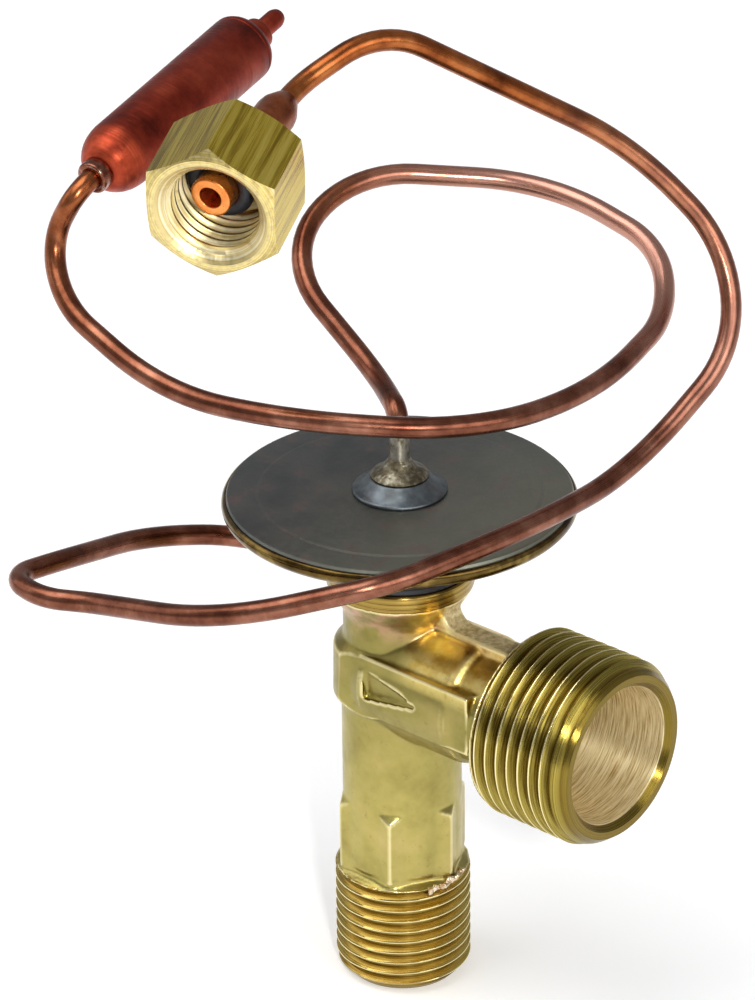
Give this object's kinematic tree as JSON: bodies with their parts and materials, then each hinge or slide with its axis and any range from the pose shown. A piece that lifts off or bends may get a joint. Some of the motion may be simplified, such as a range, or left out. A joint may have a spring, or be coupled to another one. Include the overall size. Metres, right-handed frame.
{
  "type": "thermostatic expansion valve",
  "caption": "Brass angle expansion valve with a round steel power head, a sensing bulb on a bent capillary and an equalizer tube ending in a loose flare nut.",
  "frame": {"origin": "centre of the inlet's end face, where the liquid line meets the valve", "axes": "+Z from the inlet towards the power head, +X out through the outlet, +Y to the left of the outlet"},
  "size_m": [0.0735, 0.0752, 0.116],
  "materials": {
    "forged_brass": "satin forged brass with machined threads",
    "nut_brass": "drawn flats, turned mouth",
    "gold_plated_steel": "yellow passivated plating",
    "dark_steel": "dark satin plating",
    "collar_steel": "blue-grey satin",
    "stem_steel": "bright tinned",
    "braze_alloy": "brown braze",
    "copper": "drawn copper with a purple-brown tarnish",
    "red_copper": "dark red oxidised copper",
    "fitting_copper": "bright orange copper",
    "black_rubber": "matt",
    "inner_brass": "turned",
    "inner_steel": "bright"
  },
  "bodies": {
    "valve": {"valve_body": "forged_brass", "head_gasket": "black_rubber", "head_lower_cup": "gold_plated_steel", "diaphragm": "inner_steel", "head_upper_cap": "dark_steel", "head_collar": "collar_steel", "stem_braze": "braze_alloy", "capillary_stem": "stem_steel", "capillary_tube": "copper", "equalizer_tube": "copper", "bulb_shell": "red_copper", "bulb_collar": "copper", "bulb_end_cap": "red_copper", "bulb_fill_tip": "red_copper", "equalizer_fitting": "fitting_copper", "nut_o_ring": "black_rubber", "rod_seal": "black_rubber", "valve_seat": "inner_steel", "strainer_ring": "inner_brass", "strainer_basket": "inner_steel"},
    "valve_train": {"diaphragm_pad": "inner_brass", "push_rod": "inner_steel", "valve_ball": "inner_steel", "ball_carrier": "inner_brass", "superheat_spring": "inner_steel"},
    "spring_rest": {"spring_seat": "inner_brass"},
    "adjuster": {"adjuster_nut": "inner_brass"},
    "nut": {"flare_nut": "nut_brass"}
  },
  "joints": [
    {"name": "valve_stroke", "type": "slide", "parent": "valve", "child": "valve_train", "axis": [0, 0, -1], "range_m": [-0.0003, 0.0005], "stiffness_N_per_m": 2000, "deforming": ["superheat_spring", "diaphragm"]},
    {"name": "spring_seat_lift", "type": "slide", "parent": "valve", "child": "spring_rest", "axis": [0, 0, 1], "range_m": [-0.0004, 0.0004]},
    {"name": "adjuster_turn", "type": "hinge", "parent": "spring_rest", "child": "adjuster", "pos_m": [0, 0, 0.0188], "axis": [0, 0, 1], "range_deg": [-180, 180]},
    {"name": "nut_spin", "type": "hinge", "parent": "valve", "child": "nut", "pos_m": [-0.00052, -0.02918, 0.10593], "axis": [-0.4147, 0.8891, 0.1939], "continuous": true}
  ],
  "couplings": [
    {"joint": "adjuster_turn", "follows": "spring_seat_lift", "rad_per_m": 7853.9}
  ]
}
